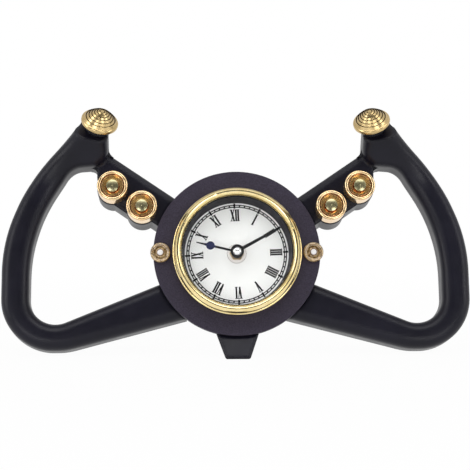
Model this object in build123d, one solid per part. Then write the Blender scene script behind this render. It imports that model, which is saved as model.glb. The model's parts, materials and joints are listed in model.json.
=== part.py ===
from build123d import *
import math
import os

# A yoke shaped table clock: a round hub that carries the clock, two open cast wings, and a foot.
# Everything is drawn upright about the hub's axis and leaned back at the end.
# X runs to the right as the dial is read, Z up, and Y is the depth behind the hub's front face.

# Stance
LEAN = 18.0
LAND_CUT = 0.4

# Hub, its front ring and its rear cover
HUB_RADIUS = 63.2
HUB_TAPER = 5.2
HUB_WALL = 5.0
RING_WIDTH = 19.2
RING_THICKNESS = 5.0
HUB_BACK = 33.0
SHELF_WIDTH = 4.4
SHELF_THICKNESS = 3.2
COVER_THICKNESS = 1.8
COVER_GAP = 0.2
BOSS_RADIUS = 4.0
COVER_SCREW_ANGLES = (60.0, 120.0, 240.0, 300.0)
JOINT_GAP = 0.15

# Bezel, glass and the dark tube behind them
BEZEL_HEIGHT = 14.0
BEZEL_BASE_HEIGHT = 6.0
BEZEL_BASE_OVERLAP = 2.6
BEZEL_FLANGE = 2.6
BEZEL_OVERLAP = 4.8
BEZEL_STEP_WIDTH = 1.1
BEZEL_CREST = 2.2
BEZEL_LIP_REACH = 2.1
BEZEL_LIP_WIDTH = 0.8
BEZEL_LIP_DROP = 2.5
SPIGOT_DEPTH = 4.0
SPIGOT_WALL = 0.9
SLIDE_GAP = 0.1
GLASS_THICKNESS = 1.6
GLASS_SETBACK = 3.2
SPACER_WALL = 1.6
SPACER_FOOT = 3.4
DIAL_DEPTH = 5.0
DIAL_THICKNESS = 0.8

# Wings
GRIP_SPAN = 115.0
HORN_ABOVE_HUB = 35.7
WING_BELOW_HUB = 9.2
WING_FRONT = 5.0
WING_THICKNESS = 28.0
EDGE_ROUND = 8.0
BEND_START = 48.0
BEND_RADIUS = 58.7
NECK_ANGLE = 53.5
NECK_OVERTURN = 13.4
NECK_SPLAY = 13.7
NECK_AXIS_SHARE = 0.593
BELLY_RADIUS = 55.0
HEEL_RADIUS = 40.0
GRIP_RADIUS = 120.0
SHOULDER_RADIUS = 14.0
CROTCH_RADIUS = 12.0
ARCH_RADIUS = 16.0
TOE_RADIUS = 20.0
CORNER_FIT_SHARE = 0.995
ARCH_WEB_RADIUS = 5.0
ARCH_WEB_FRONT = 9.0
ARCH_WEB_BACK = 21.0
NECK_WEB_RADIUS = 9.0
NECK_WEB_FRONT = 6.0
NECK_WEB_BACK = 16.0
SPOKE_CHAMFER = 3.5

# Handle loop: shares of the reach across, and of the rise above the axis or the drop below it
LOOP_SHARES = (
    ((0.213, -0.670), 0.0),
    ((0.723, -1.0), BELLY_RADIUS),
    ((1.0, -1.0), HEEL_RADIUS),
    ((1.0, 0.115), GRIP_RADIUS),
    ((0.885, 0.620), GRIP_RADIUS),
    ((0.6605, 1.002), SHOULDER_RADIUS),
    ((0.6605, 1.300), 0.0),
    ((0.5485, 1.300), 0.0),
    ((0.5485, 0.700), CROTCH_RADIUS),
    ((0.7068, 0.680), ARCH_RADIUS),
    ((0.8233, 0.366), GRIP_RADIUS),
    ((0.8807, 0.0142), GRIP_RADIUS),
    ((0.8807, -0.857), TOE_RADIUS),
    ((0.213, -0.190), 0.0),
)
SPOKE_SHARES = (
    ((0.2134, 0.383), 0.0),
    ((0.5597, 0.811), 0.0),
    ((0.596, 0.740), 0.0),
    ((0.596, 0.545), CROTCH_RADIUS),
    ((0.2134, 0.073), 0.0),
)
# Inner corners that are filled with metal: the corner, then a point along each of its sides
ARCH_WEB_SHARES = ((0.596, 0.694), (0.7068, 0.680), (0.596, 0.545))
NECK_WEB_SHARES = ((0.5485, 0.7972), (0.5485, 1.300), (0.2134, 0.383))

# Buttons on the spokes: distance of each axis outside the hub, and its angle
BUTTON_OFFSETS = (17.0, 43.8)
BUTTON_ANGLES = (26.2, 28.4)
SOCKET_WEB_INSET = 2.6
SOCKET_RADIUS = 12.0
SOCKET_BACK_STEP = 3.0
SOCKET_CHAMFER = 1.5
SOCKET_BACK_CHAMFER = 2.5
CUP_RADIUS = 11.6
CUP_HEIGHT = 12.5
CUP_RIM = 2.6
CUP_RIM_CROWN = 1.2
CUP_GROOVE = 0.8
CUP_GROOVE_DROP = 2.6
CUP_BOWL_DROP = 1.2
CUP_FLOOR_DROP = 4.6
CUP_SHANK_RADIUS = 5.0
CUP_SHANK_LENGTH = 9.0
DOME_RADIUS = 4.6
DOME_RISE = 0.2
DOME_CROWN = 0.7
DOME_STEM_RADIUS = 2.0
DOME_STEM_LENGTH = 8.0
SHANK_GAP = 0.15

# Finials at the ends of the horns
FINIAL_RADIUS = 14.2
FINIAL_SKIRT = 4.0
FINIAL_SKIRT_ROUND = 1.5
FINIAL_RINGS = 6
FINIAL_DOME_HEIGHT = 8.2
FINIAL_DOME_SHARE = 0.6
FINIAL_TIP_RADIUS = 1.6
FINIAL_GROOVE_SHARE = 0.4
FINIAL_GROOVE_DEPTH = 0.9
FINIAL_BOSS_RADIUS = 7.5
FINIAL_BOSS_HEIGHT = 1.6
FINIAL_STUD_RADIUS = 3.0
FINIAL_STUD_LENGTH = 16.0
COLLAR_RADIUS = 9.6
COLLAR_LENGTH = 4.2
COLLAR_WAIST = 0.9

# Screws and bolts
SIDE_SCREW_INSET = 5.3
SIDE_SCREW_RADIUS = 7.5
SIDE_SCREW_HEAD = 3.0
SIDE_SCREW_DISH = 1.2
SIDE_SCREW_RIM = 1.4
SIDE_SCREW_HUB_RADIUS = 3.2
SIDE_SCREW_SHANK = 2.4
SIDE_SCREW_LENGTH = 12.0
BOLT_ANGLES = (-35.0, 31.6)
BOLT_DEPTH = 21.0
BOLT_RADIUS = 2.5
BOLT_LENGTH = 18.0
BOLT_HEAD_RADIUS = 4.2
BOLT_HEAD_HEIGHT = 3.0
FOOT_SCREW_DEPTHS = (19.0, 27.0)
FOOT_SCREW_RADIUS = 2.0
FOOT_SCREW_LENGTH = 16.0
FOOT_SCREW_HEAD_RADIUS = 3.2
FOOT_SCREW_HEAD_HEIGHT = 2.2
COVER_SCREW_RADIUS = 1.5
COVER_SCREW_LENGTH = 8.0
COVER_SCREW_HEAD_RADIUS = 2.8
COVER_SCREW_HEAD_HEIGHT = 1.4

# Foot under the hub
FOOT_BOTTOM_HALF = 9.2
FOOT_DRAFT = 22.0
FOOT_RAKE = 36.0
FOOT_FRONT_REACH = 28.0
FOOT_REAR_REACH = 46.0
FOOT_TONGUE = 6.0
FOOT_HEIGHT_IN_HUB = 15.0
FOOT_EDGE_CHAMFER = 1.4
FOOT_CORNER_ROUND = 2.0

# Quartz movement
CASE_CORNER = 3.0
CASE_WALL = 1.5
CASE_DEPTH = 16.2
GASKET_THICKNESS = 1.0
GASKET_RADIUS = 7.5
BUSH_RADIUS = 4.0
BUSH_REACH = 6.5
BUSH_CLEARANCE = 0.3
WASHER_RADIUS = 7.4
WASHER_THICKNESS = 0.5
NUT_RADIUS = 5.5
NUT_THICKNESS = 2.9
CELL_RADIUS = 7.1
CELL_PLAY = 2.0
CELL_NUB_RADIUS = 2.75
CELL_NUB_LENGTH = 1.0
CELL_SETBACK = 0.4
CONTACT_THICKNESS = 0.4
CONTACT_WIDTH = 9.0
BOARD_THICKNESS = 1.2
COIL_RADIUS = 3.4
COIL_LENGTH = 20.0
COIL_CORE = 1.2
COIL_SHARE = (-0.768, 0.286)
POST_RADIUS = 2.0
POST_SHARES = ((-0.5, -0.286), (0.5, -0.286), (-0.5, 0.768), (0.68, 0.768))
BRIDGE_THICKNESS = 1.0
BRIDGE_MARGIN = 2.2

# Motion work
RUN_GAP = 0.06
FIT_GAP = 0.03
END_PLAY = 0.3
GEAR_THICKNESS = 1.2
CANNON_TEETH = 12
MINUTE_TEETH = 36
STEP_TEETH = 10
HOUR_TEETH = 40
WHEEL_DISTANCE_SHARE = 0.2143
TOOTH_ROOT_SHARE = 0.50
TOOTH_TIP_SHARE = 0.20
ADDENDUM_SHARE = 0.80
DEDENDUM_SHARE = 1.15
ARBOR_RADIUS = 1.84
PIPE_WALL = 0.9
PIVOT_RADIUS = 0.8
SETTER_RADIUS = 1.5
KNOB_RADIUS = 8.0
KNOB_HEIGHT = 4.0
KNOB_FLUTES = 18
KNOB_FLUTE_DEPTH = 0.5

# Hands
HOUR_HAND_LIFT = 8.8
MINUTE_HAND_LIFT = 11.0
HAND_THICKNESS = 0.5
HOUR_ANGLE = 283.5
MINUTE_ANGLE = 61.0
HOUR_SHARE = 0.81
HOUR_STEM = 1.7
HOUR_TIP = 0.7
HOUR_EYE_SHARE = 0.655
HOUR_EYE_RADIUS = 3.2
HOUR_HUB_RADIUS = 4.6
HAND_MARGIN = 0.5
MINUTE_ROOT = 2.6
MINUTE_TIP = 1.8
MINUTE_HUB_RADIUS = 5.1
CAP_RADIUS = 3.3
CAP_HEIGHT = 2.2

OVERRUN = 2.0

# Places that follow from the sizes above
HUB_BACK_RADIUS = HUB_RADIUS - HUB_TAPER
CAVITY_RADIUS = HUB_BACK_RADIUS - HUB_WALL
BORE_RADIUS = HUB_RADIUS - RING_WIDTH
SHELF_RADIUS = BORE_RADIUS - SHELF_WIDTH
BOSS_ORBIT = (SHELF_RADIUS + CAVITY_RADIUS) / 2
SIDE_SCREW_ORBIT = HUB_RADIUS - SIDE_SCREW_INSET
WING_REACH = HUB_RADIUS + GRIP_SPAN
WING_RISE = HUB_RADIUS + HORN_ABOVE_HUB
WING_DROP = HUB_RADIUS + WING_BELOW_HUB
WING_BACK = WING_FRONT + WING_THICKNESS
WING_MIDDLE = WING_FRONT + WING_THICKNESS / 2
BEND_CENTRE = WING_MIDDLE - BEND_RADIUS
BEND_FRONT_RADIUS = WING_FRONT - BEND_CENTRE
BEND_BACK_RADIUS = WING_BACK - BEND_CENTRE
BAND_TURN = NECK_ANGLE + NECK_OVERTURN
SHELF_FRONT = DIAL_DEPTH + DIAL_THICKNESS
CAVITY_FRONT = SHELF_FRONT + SHELF_THICKNESS
COVER_FRONT = HUB_BACK - COVER_THICKNESS
BEZEL_RADIUS = BORE_RADIUS + BEZEL_OVERLAP
BEZEL_LIP = BORE_RADIUS - BEZEL_LIP_REACH
SPIGOT_RADIUS = BORE_RADIUS - SLIDE_GAP
REBATE_RADIUS = SPIGOT_RADIUS - SPIGOT_WALL
GLASS_FRONT = GLASS_SETBACK - BEZEL_HEIGHT
GLASS_BACK = GLASS_FRONT + GLASS_THICKNESS
CASE_SIDE = SHELF_RADIUS * math.sqrt(2)
CASE_FRONT = SHELF_FRONT + GASKET_THICKNESS
CASE_BACK = CASE_FRONT + CASE_DEPTH
LID_FRONT = CASE_BACK - CASE_WALL
CHAMBER_FRONT = CASE_FRONT + CASE_WALL
BUSH_FRONT = DIAL_DEPTH - BUSH_REACH
HOUR_HAND_DEPTH = DIAL_DEPTH - HOUR_HAND_LIFT
MINUTE_HAND_DEPTH = DIAL_DEPTH - MINUTE_HAND_LIFT
MINUTE_LENGTH = REBATE_RADIUS - SPACER_FOOT - SLIDE_GAP - HAND_MARGIN
HOUR_LENGTH = MINUTE_LENGTH * HOUR_SHARE
HOUR_EYE_PLACE = HOUR_LENGTH * HOUR_EYE_SHARE
PIPE_BORE = ARBOR_RADIUS + RUN_GAP
PIPE_RADIUS = PIPE_BORE + PIPE_WALL
HOUR_WHEEL_FRONT = CHAMBER_FRONT + END_PLAY
MINUTE_WHEEL_FRONT = HOUR_WHEEL_FRONT + GEAR_THICKNESS + END_PLAY * 2
BRIDGE_FRONT = MINUTE_WHEEL_FRONT + GEAR_THICKNESS + END_PLAY
BRIDGE_BACK = BRIDGE_FRONT + BRIDGE_THICKNESS
WHEEL_DISTANCE = CASE_SIDE * WHEEL_DISTANCE_SHARE
SETTER_PLACE = (WHEEL_DISTANCE, WHEEL_DISTANCE)
HALF_CASE = CASE_SIDE / 2
CASE_INSIDE = HALF_CASE - CASE_WALL
COIL_CENTRE = tuple(share * HALF_CASE for share in COIL_SHARE)
POST_PLACES = [tuple(share * HALF_CASE for share in shares) for shares in POST_SHARES]
CELL_LENGTH = (CASE_INSIDE - CONTACT_THICKNESS) * 2 - CELL_NUB_LENGTH - CELL_PLAY
CELL_DEPTH = CASE_BACK - CELL_SETBACK - CELL_RADIUS
CELL_PLACE = -CASE_INSIDE + CELL_RADIUS + JOINT_GAP
BAY_TOP = CELL_PLACE + CELL_RADIUS + JOINT_GAP + CASE_WALL
FOOT_BASE = -(
    (WING_BACK - EDGE_ROUND) * math.sin(math.radians(LEAN))
    + (WING_DROP - EDGE_ROUND) * math.cos(math.radians(LEAN))
    + EDGE_ROUND
    - LAND_CUT
)


def round_about(point, angle):
    """The point (radius, angle in degrees) about a centre in a plane."""
    x, y, radius = point
    return (x + radius * math.cos(math.radians(angle)), y + radius * math.sin(math.radians(angle)))


def turned(points, x=0.0, z=0.0):
    """A solid of revolution about an axis along Y, from points (radius, depth)."""
    profile = make_face(Polyline(*points, close=True))
    return Pos(x, 0, z) * revolve(profile, Axis.Y, 360)


def tube(inner, outer, front, back, x=0.0, z=0.0):
    return turned([(inner, front), (outer, front), (outer, back), (inner, back)], x, z)


def rod(radius, front, back, x=0.0, z=0.0):
    return tube(0.0, radius, front, back, x, z)


def bulge(side, crest):
    """An arc that leaves a side along the depth and reaches its crest square to it."""
    turn = math.radians(45)
    middle = (
        crest[0] + (side[0] - crest[0]) * math.cos(turn),
        side[1] + (crest[1] - side[1]) * math.sin(turn),
    )
    return ThreePointArc(side, middle, crest)


def crowned(radius, side, top):
    """An arc from the side of a dome to its top on the axis, struck from a centre on the axis."""
    height = side - top
    sphere = (radius**2 + height**2) / (height * 2)
    turn = math.asin(radius / sphere) / 2
    middle = (sphere * math.sin(turn), top + sphere * (1 - math.cos(turn)))
    return ThreePointArc((radius, side), middle, (0, top))


def dished(outer, inner):
    """A hollow arc from an outer point down to an inner one, struck from a centre on the axis."""
    fall = inner[1] - outer[1]
    middle_depth = (outer[1] + inner[1]) / 2
    centre = middle_depth - (outer[0] ** 2 - inner[0] ** 2) / (fall * 2)
    sphere = math.hypot(outer[0], outer[1] - centre)
    outer_turn = math.atan2(outer[0], outer[1] - centre)
    inner_turn = math.atan2(inner[0], inner[1] - centre)
    turn = (outer_turn + inner_turn) / 2
    middle = (sphere * math.sin(turn), centre + sphere * math.cos(turn))
    return ThreePointArc(outer, middle, inner)


def turned_edges(edges, x=0.0, z=0.0):
    """A solid of revolution about an axis along Y, from a closed chain of edges."""
    return Pos(x, 0, z) * revolve(make_face(edges), Axis.Y, 360)


def slab(face, front, back):
    """A face drawn in X and Z, given its thickness along Y."""
    return extrude(Plane.XZ.offset(-front) * face, amount=back - front, dir=(0, 1, 0))


def block(left, right, front, back, low, high):
    size = (right - left, back - front, high - low)
    centre = ((left + right) / 2, (front + back) / 2, (low + high) / 2)
    return Pos(*centre) * Box(*size)


def polygon(points):
    return make_face(Polyline(*points, close=True))


def radial(shape, angle, depth):
    """Turn a shape that runs along +Z so that it runs outward from the hub's axis."""
    return Pos(0, depth, 0) * Rot(0, 90 - angle, 0) * shape


def on_orbit(orbit, angle):
    return round_about((0, 0, orbit), angle)


def wing_point(share):
    """A point of the wing's outline from its shares."""
    across, up = share
    height = WING_RISE if up > 0 else WING_DROP
    return (across * WING_REACH, up * height)


def wing_outline(shares):
    points = [Vector(*wing_point(share)) for share, _ in shares]
    radii = [radius for _, radius in shares]
    return make_face(FilletPolyline(*points, radius=fitted(points, radii), close=True))


def fitted(points, radii):
    """The corner radii, limited so that neighbouring corners leave each other room."""
    reaches = []
    for index, radius in enumerate(radii):
        before = points[index] - points[index - 1]
        after = points[(index + 1) % len(points)] - points[index]
        reaches.append(radius * math.tan(math.radians(before.get_angle(after)) / 2))
    limits = [1.0] * len(points)
    for index, reach in enumerate(reaches):
        following = (index + 1) % len(points)
        room = (points[following] - points[index]).length * CORNER_FIT_SHARE
        both = reach + reaches[following]
        if both > room:
            limits[index] = min(limits[index], room / both)
            limits[following] = min(limits[following], room / both)
    return [radius * limit for radius, limit in zip(radii, limits)]


def bend_point(radius, angle):
    return round_about((BEND_CENTRE, BEND_START, radius), angle)


def leaned(depth, height):
    """Where a point at this depth and height comes to lie, as (y, z), when the clock leans back."""
    sine = math.sin(math.radians(LEAN))
    cosine = math.cos(math.radians(LEAN))
    return (depth * cosine + height * sine, height * cosine - depth * sine)


NECK_AXIS = Vector(
    -math.sin(math.radians(NECK_SPLAY)),
    -math.cos(math.radians(NECK_SPLAY)) * math.sin(math.radians(NECK_ANGLE)),
    math.cos(math.radians(NECK_SPLAY)) * math.cos(math.radians(NECK_ANGLE)),
)
NECK_END = Vector(
    NECK_AXIS_SHARE * WING_REACH,
    bend_point(BEND_RADIUS, NECK_ANGLE)[0],
    bend_point(BEND_RADIUS, NECK_ANGLE)[1],
)
BUTTON_PLACES = [
    round_about((0, 0, HUB_RADIUS + offset), angle) for offset, angle in zip(BUTTON_OFFSETS, BUTTON_ANGLES)
]


# Hub


def hub_housing():
    """A cast drum: a thick front web that seats the dial, an outer wall and four bosses."""
    profile = [
        (BORE_RADIUS, RING_THICKNESS),
        (HUB_RADIUS, RING_THICKNESS),
        (HUB_BACK_RADIUS, HUB_BACK),
        (CAVITY_RADIUS, HUB_BACK),
        (CAVITY_RADIUS, CAVITY_FRONT),
        (SHELF_RADIUS, CAVITY_FRONT),
        (SHELF_RADIUS, SHELF_FRONT),
        (BORE_RADIUS, SHELF_FRONT),
    ]
    housing = turned(profile)
    for angle in COVER_SCREW_ANGLES:
        x, z = on_orbit(BOSS_ORBIT, angle)
        housing += rod(BOSS_RADIUS, CAVITY_FRONT, COVER_FRONT, x, z)
    for angle in COVER_SCREW_ANGLES:
        x, z = on_orbit(BOSS_ORBIT, angle)
        depth = COVER_FRONT - COVER_SCREW_LENGTH
        housing -= rod(COVER_SCREW_RADIUS + SHANK_GAP, depth, HUB_BACK, x, z)
    for side in (-1, 1):
        shank = SIDE_SCREW_SHANK + SHANK_GAP
        housing -= rod(shank, 0, SIDE_SCREW_LENGTH + SHANK_GAP, side * SIDE_SCREW_ORBIT, 0)
        for angle in BOLT_ANGLES:
            housing -= wall_hole(BOLT_RADIUS, angle if side > 0 else 180 - angle, BOLT_DEPTH)
    for depth in FOOT_SCREW_DEPTHS:
        housing -= wall_hole(FOOT_SCREW_RADIUS, 270, depth)
    return housing


def wall_hole(radius, angle, depth):
    """A clearance hole through the drum's wall and on into what is bolted to it."""
    length = OVERRUN + BOLT_LENGTH + SHANK_GAP
    hole = Pos(0, 0, CAVITY_RADIUS - OVERRUN + length / 2) * Cylinder(radius + SHANK_GAP, length)
    return radial(hole, angle, depth)


def drum_space(back):
    """What the drum takes out of a piece that is seated on it, with the clearance between them."""
    profile = [
        (0, -HUB_RADIUS),
        (HUB_RADIUS + JOINT_GAP, -HUB_RADIUS),
        (HUB_RADIUS + JOINT_GAP, RING_THICKNESS),
        (HUB_BACK_RADIUS + JOINT_GAP, HUB_BACK),
        (HUB_BACK_RADIUS + JOINT_GAP, back),
        (0, back),
    ]
    return turned(profile)


def front_ring():
    """The flat annular plate on the drum, drilled for the two side screws."""
    ring = tube(BORE_RADIUS, HUB_RADIUS, 0, RING_THICKNESS)
    for side in (-1, 1):
        shank = SIDE_SCREW_SHANK + SHANK_GAP
        ring -= rod(shank, -OVERRUN, RING_THICKNESS + OVERRUN, side * SIDE_SCREW_ORBIT, 0)
    return ring


def rear_cover():
    """A thin ring behind the drum, open over the movement."""
    cover = tube(SHELF_RADIUS, CAVITY_RADIUS - COVER_GAP, COVER_FRONT, HUB_BACK)
    for angle in COVER_SCREW_ANGLES:
        x, z = on_orbit(BOSS_ORBIT, angle)
        cover -= rod(COVER_SCREW_RADIUS + SHANK_GAP, COVER_FRONT - OVERRUN, HUB_BACK + OVERRUN, x, z)
    return cover


def rear_cover_screws():
    screws = []
    for angle in COVER_SCREW_ANGLES:
        x, z = on_orbit(BOSS_ORBIT, angle)
        end = COVER_FRONT - COVER_SCREW_LENGTH + SHANK_GAP
        head = HUB_BACK + COVER_SCREW_HEAD_HEIGHT
        profile = [
            (0, end),
            (COVER_SCREW_RADIUS, end),
            (COVER_SCREW_RADIUS, HUB_BACK),
            (COVER_SCREW_HEAD_RADIUS, HUB_BACK),
            (COVER_SCREW_HEAD_RADIUS, HUB_BACK + COVER_SCREW_HEAD_HEIGHT / 2),
            (COVER_SCREW_HEAD_RADIUS / 2, head),
            (0, head),
        ]
        screws.append(turned(profile, x, z))
    return Compound(children=screws)


# Bezel and glass


def bezel_ring():
    """A polished brass ring: a base, a thin flange, a rounded crown, a lip for the glass and a spigot."""
    base_radius = BORE_RADIUS + BEZEL_BASE_OVERLAP
    flange_back = -BEZEL_BASE_HEIGHT
    flange_front = flange_back - BEZEL_FLANGE
    flange_edge = (BEZEL_RADIUS, (flange_back + flange_front) / 2)
    crown_radius = BEZEL_RADIUS - BEZEL_STEP_WIDTH
    crest = (crown_radius - BEZEL_CREST, -BEZEL_HEIGHT)
    lip_front = BEZEL_LIP_DROP - BEZEL_HEIGHT
    edges = [
        bulge((crown_radius, flange_front), crest),
        bulge((BEZEL_LIP + BEZEL_LIP_WIDTH, lip_front), crest),
        Polyline(
            (BEZEL_LIP + BEZEL_LIP_WIDTH, lip_front),
            (BEZEL_LIP, lip_front),
            (BEZEL_LIP, GLASS_FRONT),
            (REBATE_RADIUS, GLASS_FRONT),
            (REBATE_RADIUS, SPIGOT_DEPTH),
            (SPIGOT_RADIUS, SPIGOT_DEPTH),
            (SPIGOT_RADIUS, 0),
            (base_radius, 0),
            (base_radius, flange_back),
            (BEZEL_RADIUS - BEZEL_STEP_WIDTH / 2, flange_back),
        ),
        bulge(flange_edge, (BEZEL_RADIUS - BEZEL_STEP_WIDTH / 2, flange_back)),
        bulge(flange_edge, (crown_radius, flange_front)),
    ]
    return turned_edges(edges)


def glass_lens():
    return rod(REBATE_RADIUS - SLIDE_GAP, GLASS_FRONT, GLASS_BACK)


def dial_spacer():
    """The dark tube between glass and dial, drawn in a little toward the dial."""
    outer = REBATE_RADIUS - SLIDE_GAP
    profile = [
        (outer - SPACER_WALL, GLASS_BACK),
        (outer, GLASS_BACK),
        (outer, DIAL_DEPTH),
        (outer - SPACER_FOOT, DIAL_DEPTH),
    ]
    return turned(profile)


def dial_plate():
    return tube(BUSH_RADIUS + BUSH_CLEARANCE, REBATE_RADIUS, DIAL_DEPTH, SHELF_FRONT)


# Wings


def loop_band():
    """The wing seen from its side: upright below, and curling forward to the neck above."""
    low = -WING_DROP - WING_THICKNESS
    front_end = bend_point(BEND_FRONT_RADIUS, BAND_TURN)
    back_end = bend_point(BEND_BACK_RADIUS, BAND_TURN)
    edges = [
        Line((WING_FRONT, low), (WING_FRONT, BEND_START)),
        ThreePointArc((WING_FRONT, BEND_START), bend_point(BEND_FRONT_RADIUS, BAND_TURN / 2), front_end),
        Line(front_end, back_end),
        ThreePointArc(back_end, bend_point(BEND_BACK_RADIUS, BAND_TURN / 2), (WING_BACK, BEND_START)),
        Line((WING_BACK, BEND_START), (WING_BACK, low)),
        Line((WING_BACK, low), (WING_FRONT, low)),
    ]
    return extrude(Plane.YZ * make_face(edges), amount=WING_REACH + OVERRUN, both=True)


def spoke_band():
    """The spoke seen from its side: a flat front, and a back that follows the wing's bend."""
    low = -WING_DROP
    turn = math.degrees(math.acos((WING_FRONT - BEND_CENTRE) / BEND_BACK_RADIUS))
    edges = [
        Line((WING_FRONT, low), bend_point(BEND_BACK_RADIUS, turn)),
        ThreePointArc(
            bend_point(BEND_BACK_RADIUS, turn),
            bend_point(BEND_BACK_RADIUS, turn / 2),
            (WING_BACK, BEND_START),
        ),
        Line((WING_BACK, BEND_START), (WING_BACK, low)),
        Line((WING_BACK, low), (WING_FRONT, low)),
    ]
    return extrude(Plane.YZ * make_face(edges), amount=WING_REACH + OVERRUN, both=True)


def is_long_edge(edge):
    """True for the edges that run along the loop, and not through it or across its cut ends."""
    size = edge.bounding_box().size
    middle = edge.center()
    if size.X < JOINT_GAP and size.Z < JOINT_GAP:
        return False
    if abs(middle.X - LOOP_SHARES[0][0][0] * WING_REACH) < JOINT_GAP:
        return False
    if size.Y < JOINT_GAP and size.Z < JOINT_GAP and abs(middle.Z - BEND_START) < JOINT_GAP:
        return False
    turns = []
    for place in (0, 0.5, 1):
        point = edge @ place
        turns.append(math.degrees(math.atan2(point.Z - BEND_START, point.Y - BEND_CENTRE)))
    return min(turns) < BAND_TURN - JOINT_GAP


def handle_loop():
    """The rounded C of the handle, from the hub round the grip to the neck."""
    outline = wing_outline(LOOP_SHARES)
    plate = extrude(Plane.XZ * outline, amount=WING_THICKNESS * 3, both=True)
    loop = plate & loop_band()
    loop = fillet([edge for edge in loop.edges() if is_long_edge(edge)], EDGE_ROUND)
    neck_plane = Plane(origin=NECK_END, z_dir=NECK_AXIS)
    return split(loop, bisect_by=neck_plane, keep=Keep.BOTTOM)


def spoke_plate():
    """The flat spoke with its bevelled front edge and the two joined sockets for the buttons."""
    outline = wing_outline(SPOKE_SHARES)
    plate = extrude(Plane.XZ * outline, amount=WING_THICKNESS * 3, both=True) & spoke_band()
    front = plate.edges().filter_by(lambda edge: edge.bounding_box().max.Y < WING_FRONT + JOINT_GAP)
    long_edges = front.filter_by(lambda edge: edge.bounding_box().size.X > WING_THICKNESS)
    plate = chamfer(long_edges.sort_by(Axis.Z)[-1], SPOKE_CHAMFER)
    for x, z in BUTTON_PLACES:
        back = WING_BACK - SOCKET_BACK_STEP
        profile = [
            (0, WING_FRONT),
            (SOCKET_RADIUS - SOCKET_CHAMFER, WING_FRONT),
            (SOCKET_RADIUS, WING_FRONT + SOCKET_CHAMFER),
            (SOCKET_RADIUS, back - SOCKET_BACK_CHAMFER),
            (SOCKET_RADIUS - SOCKET_BACK_CHAMFER, back),
            (0, back),
        ]
        plate += turned(profile, x, z)
    return plate + socket_web()


def socket_web():
    """The metal that joins the two sockets below the spoke."""
    inner, outer = (Vector(*place) for place in BUTTON_PLACES)
    along = (outer - inner).normalized()
    aside = Vector(-along.Y, along.X) * (SOCKET_RADIUS - SOCKET_WEB_INSET)
    corners = [inner + aside, outer + aside, outer - aside, inner - aside]
    back = WING_BACK - SOCKET_BACK_STEP - SOCKET_BACK_CHAMFER
    return slab(polygon([(corner.X, corner.Y) for corner in corners]), WING_FRONT + SOCKET_CHAMFER, back)


def corner_web(shares, radius, front, back):
    """Metal that rounds the inner corner between two sides of the wing."""
    corner, first, second = (Vector(*wing_point(share)) for share in shares)
    first = (first - corner).normalized()
    second = (second - corner).normalized()
    outward = (first + second).normalized()
    half = math.radians(first.get_angle(second)) / 2
    reach = radius / math.tan(half)
    start = corner + first * reach
    end = corner + second * reach
    middle = corner + outward * (radius / math.sin(half) - radius)
    sunk = corner - outward * OVERRUN
    face = make_face([ThreePointArc(start, middle, end), Line(end, sunk), Line(sunk, start)])
    return slab(face, front, back)


def wing_right():
    wing = handle_loop() + spoke_plate()
    wing += corner_web(ARCH_WEB_SHARES, ARCH_WEB_RADIUS, ARCH_WEB_FRONT, ARCH_WEB_BACK)
    wing += corner_web(NECK_WEB_SHARES, NECK_WEB_RADIUS, NECK_WEB_FRONT, NECK_WEB_BACK)
    wing -= drum_space(HUB_RADIUS * 2)
    for x, z in BUTTON_PLACES:
        wing -= rod(CUP_SHANK_RADIUS + SHANK_GAP, -OVERRUN, WING_FRONT + CUP_SHANK_LENGTH + SHANK_GAP, x, z)
    for angle in BOLT_ANGLES:
        wing -= wall_hole(BOLT_RADIUS, angle, BOLT_DEPTH)
    stud = Cylinder(FINIAL_STUD_RADIUS + SHANK_GAP, FINIAL_STUD_LENGTH * 2)
    wing -= Plane(origin=NECK_END, z_dir=NECK_AXIS) * stud
    return wing


def wing_bolts():
    bolts = []
    seat = math.sqrt(CAVITY_RADIUS**2 - BOLT_HEAD_RADIUS**2) - FIT_GAP
    for angle in BOLT_ANGLES + tuple(180 - angle for angle in BOLT_ANGLES):
        shank = Pos(0, 0, seat + BOLT_LENGTH / 2) * Cylinder(BOLT_RADIUS, BOLT_LENGTH)
        head = Pos(0, 0, seat - BOLT_HEAD_HEIGHT / 2) * Cylinder(BOLT_HEAD_RADIUS, BOLT_HEAD_HEIGHT)
        bolts.append(radial(shank + head, angle, BOLT_DEPTH))
    return Compound(children=bolts)


# Buttons and finials


def button_cup(x, z):
    """A brass cup: a rounded rim, a groove, a dished bowl and a shank for the socket."""
    rim = WING_FRONT - CUP_HEIGHT
    rim_side = rim + CUP_RIM_CROWN
    rim_inside = CUP_RADIUS - CUP_RIM
    bowl_outside = rim_inside - CUP_GROOVE
    bowl_edge = rim + CUP_BOWL_DROP
    rim_crest = (CUP_RADIUS - CUP_RIM / 2, rim)
    groove = rim + CUP_GROOVE_DROP
    well = rim + CUP_FLOOR_DROP
    shank_end = WING_FRONT + CUP_SHANK_LENGTH
    blind = well + DOME_STEM_LENGTH + SHANK_GAP
    stem_hole = DOME_STEM_RADIUS + FIT_GAP
    edges = [
        bulge((CUP_RADIUS, rim_side), rim_crest),
        bulge((rim_inside, rim_side), rim_crest),
        Polyline(
            (rim_inside, rim_side),
            (rim_inside, groove),
            (bowl_outside, groove),
            (bowl_outside, bowl_edge),
        ),
        dished((bowl_outside, bowl_edge), (DOME_RADIUS, well)),
        Polyline(
            (DOME_RADIUS, well),
            (stem_hole, well),
            (stem_hole, blind),
            (0, blind),
            (0, shank_end),
            (CUP_SHANK_RADIUS, shank_end),
            (CUP_SHANK_RADIUS, WING_FRONT),
            (CUP_RADIUS, WING_FRONT),
            (CUP_RADIUS, rim_side),
        ),
    ]
    return turned_edges(edges, x, z)


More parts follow.
